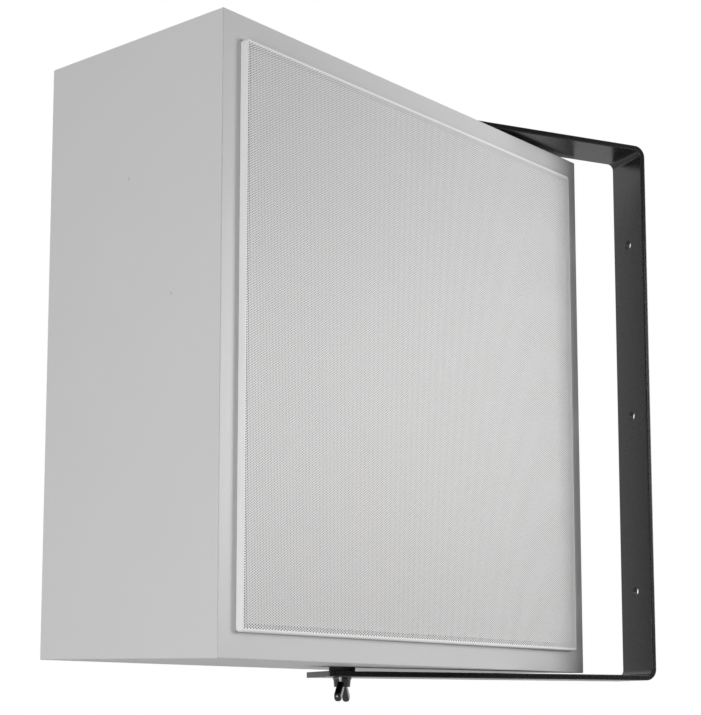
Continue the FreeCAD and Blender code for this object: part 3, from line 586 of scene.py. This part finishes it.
field_inset = (tray_half.x - field_half.x, tray_half.z - field_half.z)
loops = [rounded_loop(field_inset, 0.0, 0.0)]
for step in range(ROLL_STEPS + 1):
    turn = step / ROLL_STEPS * math.pi / 2
    inset = ROLL * (1 - math.sin(turn))
    loops.append(rounded_loop((inset, inset), CORNER - inset, ROLL * (1 - math.cos(turn))))
tray_depth = tray_high.y - tray_low.y
loops.append(rounded_loop((0, 0), CORNER, tray_depth))
loops.append(rounded_loop((SHEET, SHEET), CORNER - SHEET, tray_depth))
loops.append(rounded_loop((SHEET, SHEET), CORNER - SHEET, ROLL))
lofted("grille_rim", loops, "grille_paint", "grille")

# %% [markdown]
# Foam tape is stuck round the tray's sides and squeezed into the box with it. It swells into the corners,
# where the rounded tray leaves the square opening of the boards. So it is a ring between a rounded and a
# sharp square.

# %% Squeeze the foam round the tray
foam_low, foam_high = limits("grille_grip_strips")
slack = (foam_high.x - foam_low.x) / 2 - tray_half.x
SWELL = 0.0003
near = foam_low.y - face - SWELL
far = foam_high.y - face
foam_loops = [rounded_loop((0, 0), CORNER, near), rounded_loop((-slack, -slack), 0.0, near)]
foam_loops += [rounded_loop((-slack, -slack), 0.0, far), rounded_loop((0, 0), CORNER, far)]
lofted("grille_foam", foam_loops + foam_loops[:1], "foam_tape", "grille_grip_strips")

# %% [markdown]
# ## The rings that flex
# Behind the grille two rings hold the cone: a rubber surround at its rim and a waved cloth, the spider, at
# its neck. Their outer edges are glued to the basket and their inner edges move with the cone, so they can
# ride on neither alone. A blend bends a piece between two bodies, but only along a straight line. Each
# ring is cut like a cake into slices, which take the place of its node.

# %% Cut the rings into slices
SLICES = 12
WEDGE = 2 * math.pi / SLICES


def spoke_at(turn):
    """Direction in the plane of the box's front, at an angle."""
    return from_box.to_3x3() @ Vector((math.cos(turn), 0, math.sin(turn)))


spokes = [spoke_at((k + 0.5) * WEDGE) for k in range(SLICES)]


def cut_ring(node, centre):
    """The mesh of a node, cut along the sides of all slices."""
    ring = bmesh.new()
    ring.from_mesh(frame["nodes"][node].data)
    for k in range(SLICES):
        whole = ring.verts[:] + ring.edges[:] + ring.faces[:]
        normal = spoke_at((k + 1) * WEDGE + math.pi / 2)
        bmesh.ops.bisect_plane(ring, geom=whole, plane_co=centre, plane_no=normal)
    return ring


def slice_at(offset):
    """Number of the slice in which a point lies, from its offset to the ring's centre."""
    return max(range(SLICES), key=lambda k: spokes[k].dot(offset))


def flexing_ring(node, slot):
    """Slices in place of a node, one for each wedge of the ring."""
    low, high = limits(node)
    centre = from_box @ ((low + high) / 2)
    ring = cut_ring(node, centre)
    offsets = [v.co - centre for v in ring.verts]
    inner = min((offset - forward * offset.dot(forward)).length for offset in offsets)
    for k, spoke in enumerate(spokes):
        part = ring.copy()
        others = [f for f in part.faces if slice_at(f.calc_center_median() - centre) != k]
        bmesh.ops.delete(part, geom=others, context="FACES")
        mesh = bpy.data.meshes.new(f"{node}_{k + 1}")
        part.to_mesh(mesh)
        part.free()
        smoothed(mesh)
        piece = placed(mesh, slot)
        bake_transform(piece)
        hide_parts(node)
    ring.free()


flexing_ring("surround", "surround_rubber")
flexing_ring("spider", "spider_cloth")

# %% [markdown]
# ## Light and floor
# The speaker was lit by two soft boxes in a white studio. A low one on the left lights the side and the
# rolled rim of the grille, most of all near the floor. A near one on the right lights the grille past the
# strap, which leaves its shade along the right end. It is narrow and stands well to the side, because the
# edges of the bracket mirror what is beside it and have to stay black. A lamp's level says what share of
# white a surface that faces it reaches, so a colour renders about as it is written.

# %% Hang the soft boxes
AIM = (cad_low + cad_high) / 2


def soft_box(name, direction, distance, width, level):
    lamp = bpy.data.lights.new(name, "AREA")
    lamp.shape = "SQUARE"
    lamp.size = width
    lamp.energy = level * math.pi**2 * distance**2
    held = bpy.data.objects.new(name, lamp)
    held.location = AIM + Vector(direction).normalized() * distance
    held.rotation_euler = (AIM - held.location).to_track_quat("-Z", "Y").to_euler()
    scene.collection.objects.link(held)
    print("lamp:", name, round(lamp.energy, 1), "watts")


soft_box("left_soft_box", (0.65, -0.72, -0.27), 1.2, 0.6, 0.46)
soft_box("right_soft_box", (0.44, 0.89, 0.12), 0.8, 0.34, 0.58)

# %% [markdown]
# The world is white where the camera looks and where shiny metal reflects it, and a plain grey where it
# lights matt surfaces, with a bright ceiling and a bright wall behind the box, so that its top and back
# aren't lost in shade. The dark half of the studio, behind the camera, shows only in reflections.

# %% Set the world
WHITE = grey(1.0)
SKY = grey(0.20)
CEILING = grey(1.0)
CEILING_EDGE = (0.5, 1.0)
BACK_WALL = grey(1.0)
BACK_SIDE = Vector((-0.88, -0.42, 0.22))
BACK_EDGE = (0.3, 0.9)
DARK_WALL = grey(0.04)
DARK_SIDE = Vector((1, 0, 0))
DARK_EDGE = (0.55, 0.80)


def in_view(tree):
    """One where the camera looks, also by way of shiny metal, and nought where matt surfaces are lit."""
    camera_ray = tree.node("LightPath", out="Is Camera Ray")
    glossy_ray = tree.node("LightPath", out="Is Glossy Ray")
    clear_ray = tree.node("LightPath", out="Is Transmission Ray")
    return camera_ray.math("MAXIMUM", camera_ray, glossy_ray.math("MAXIMUM", glossy_ray, clear_ray))


scene.view_settings.view_transform = "Standard"
scene.world = bpy.data.worlds.new("studio")
sky = Tree(scene.world)
glossy_ray = sky.node("LightPath", out="Is Glossy Ray")
toward = sky.node("TexCoord", out="Generated")
facing = sky.node("VectorMath", {"operation": "DOT_PRODUCT"}, {0: toward, 1: DARK_SIDE}, "Value")
dark = facing.step(*DARK_EDGE) * glossy_ray
behind = sky.node("VectorMath", {"operation": "DOT_PRODUCT"}, {0: toward, 1: BACK_SIDE}, "Value")
white = sky.node("Background", {}, {"Color": sky.mix(dark, WHITE, DARK_WALL), "Strength": 1.0})
wall = sky.mix(behind.step(*BACK_EDGE), SKY, BACK_WALL)
room = sky.mix(sky.axis(toward, "Z").step(*CEILING_EDGE), wall, CEILING)
plain = sky.node("Background", {}, {"Color": room, "Strength": 1.0})
both = sky.node("MixShader", {}, {0: in_view(sky), 1: plain, 2: white})
sky.node("OutputWorld", {}, {"Surface": both})
print("sky level", SKY[0], "back wall", BACK_WALL[0])

# %% [markdown]
# The floor is plain paper, some way below the box. It is paled by half where the camera looks, so that it
# is bright without lighting the box from below, and it keeps the shadow.

# %% Lay the floor
FLOOR_DROP = 0.50
FLOOR_HALF = 4.0
FLOOR_PAPER = (grey(0.38), grey(0.42))
FLOOR_PALE = grey(0.92)
FLOOR_HAZE = 0.5
FIBRE_SIZE = 0.004

floor_mesh = bpy.data.meshes.new("floor")
floor_z = cad_low.z - FLOOR_DROP
corners = [(-1, -1), (1, -1), (1, 1), (-1, 1)]
floor_mesh.from_pydata([(x * FLOOR_HALF, y * FLOOR_HALF, floor_z) for x, y in corners], [], [(0, 1, 2, 3)])
floor = bpy.data.objects.new("floor", floor_mesh)
scene.collection.objects.link(floor)
floor_material = bpy.data.materials.new("floor_paper")
paper = Tree(floor_material)
fibre = paper.noise(paper.place(), FIBRE_SIZE, 3)
matt = {"Base Color": paper.mix(fibre, *FLOOR_PAPER), "Roughness": 0.8 + (fibre - 0.5) * 0.1}
lit = paper.node("BsdfPrincipled", {}, matt | {"Normal": paper.bump(fibre, 0.00005)})
pale = paper.node("Emission", {}, {"Color": FLOOR_PALE, "Strength": 1.0})
hazed = paper.node("MixShader", {}, {0: in_view(paper) * FLOOR_HAZE, 1: lit, 2: pale})
paper.node("OutputMaterial", {}, {"Surface": hazed})
floor_mesh.materials.append(floor_material)
print("floor at", round(floor_z, 3))

# %% [markdown]
# ## Sizes
# The frame's size is printed.

# %% Print the frame's size
print("frame:", [round(s, 4) for s in cad_high - cad_low])
